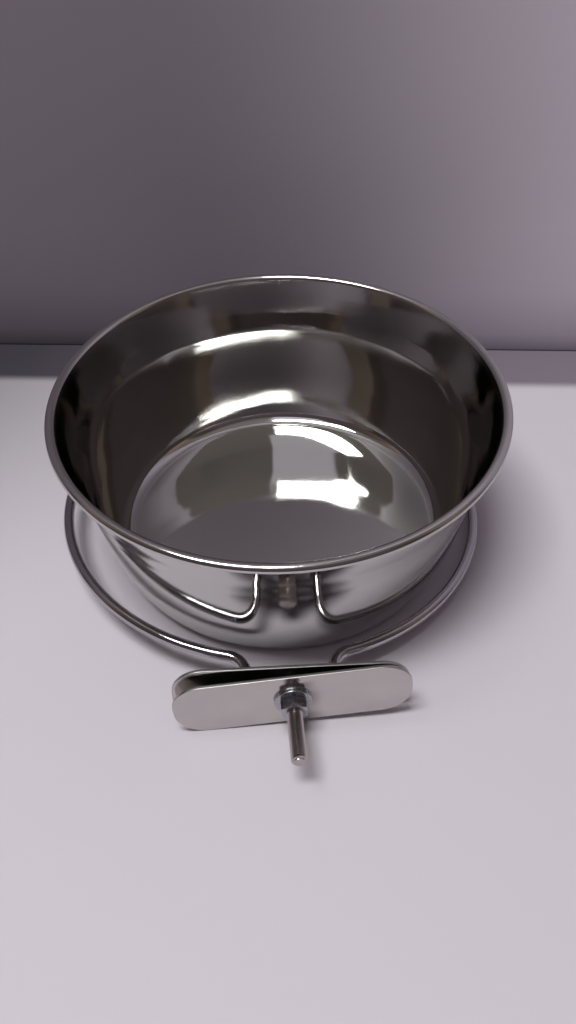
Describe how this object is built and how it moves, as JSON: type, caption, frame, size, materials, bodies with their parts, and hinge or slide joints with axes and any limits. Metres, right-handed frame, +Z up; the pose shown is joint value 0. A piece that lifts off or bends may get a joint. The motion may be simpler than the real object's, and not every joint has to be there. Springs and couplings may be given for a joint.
{
  "type": "hanging feed bowl",
  "caption": "Hemmed steel feed cup standing in its loose wire ring holder, which clamps to a cage bar between two flat plates with a bolt, washer and hex nut.",
  "frame": {"origin": "middle of the bowl's flat foot, on the surface it stands on", "axes": "+Z up along the bowl's axis; -Y towards the clamp, as seen in the picture; +X to the right as seen from the clamp's side"},
  "size_m": [0.1651, 0.1985, 0.065],
  "materials": {
    "polished_stainless": "stainless steel sheet, mirror polished, fine hairlines",
    "plated_wire": "drawn steel wire, bright plated",
    "plate_steel": "flat bar, satin plated, bright sheared edges",
    "zinc_hardware": "bright zinc plated fasteners",
    "weld_bead": "welds, plated over, slightly rough"
  },
  "bodies": {
    "bowl": {"bowl": "polished_stainless"},
    "holder": {"ring_wire": "plated_wire", "back_plate": "plate_steel", "clamp_bolt": "zinc_hardware", "left_wire_weld": "weld_bead", "right_wire_weld": "weld_bead", "bolt_tacks": "weld_bead"},
    "washer": {"washer": "zinc_hardware"},
    "front_plate": {"front_plate": "plate_steel"},
    "nut": {"hex_nut": "zinc_hardware"}
  },
  "joints": [
    {"name": "holder_lift", "type": "slide", "parent": "bowl", "child": "holder", "axis": [0.0784, -0.1059, 0.9913], "range_m": [0, 0.0472]},
    {"name": "clamp_travel", "type": "slide", "parent": "holder", "child": "washer", "axis": [0.0638, -0.9965, 0.0547], "range_m": [-0.0026, 0.015]},
    {"name": "plate_swing", "type": "hinge", "parent": "washer", "child": "front_plate", "pos_m": [0.00231, -0.08892, 0.01315], "axis": [0.0638, -0.9965, 0.0547], "continuous": true},
    {"name": "nut_turn", "type": "hinge", "parent": "washer", "child": "nut", "pos_m": [0.00246, -0.09116, 0.01327], "axis": [0.0638, -0.9965, 0.0547], "range_deg": [-1175, 6755]}
  ],
  "couplings": [
    {"joint": "nut_turn", "follows": "clamp_travel", "rad_per_m": 7854}
  ]
}
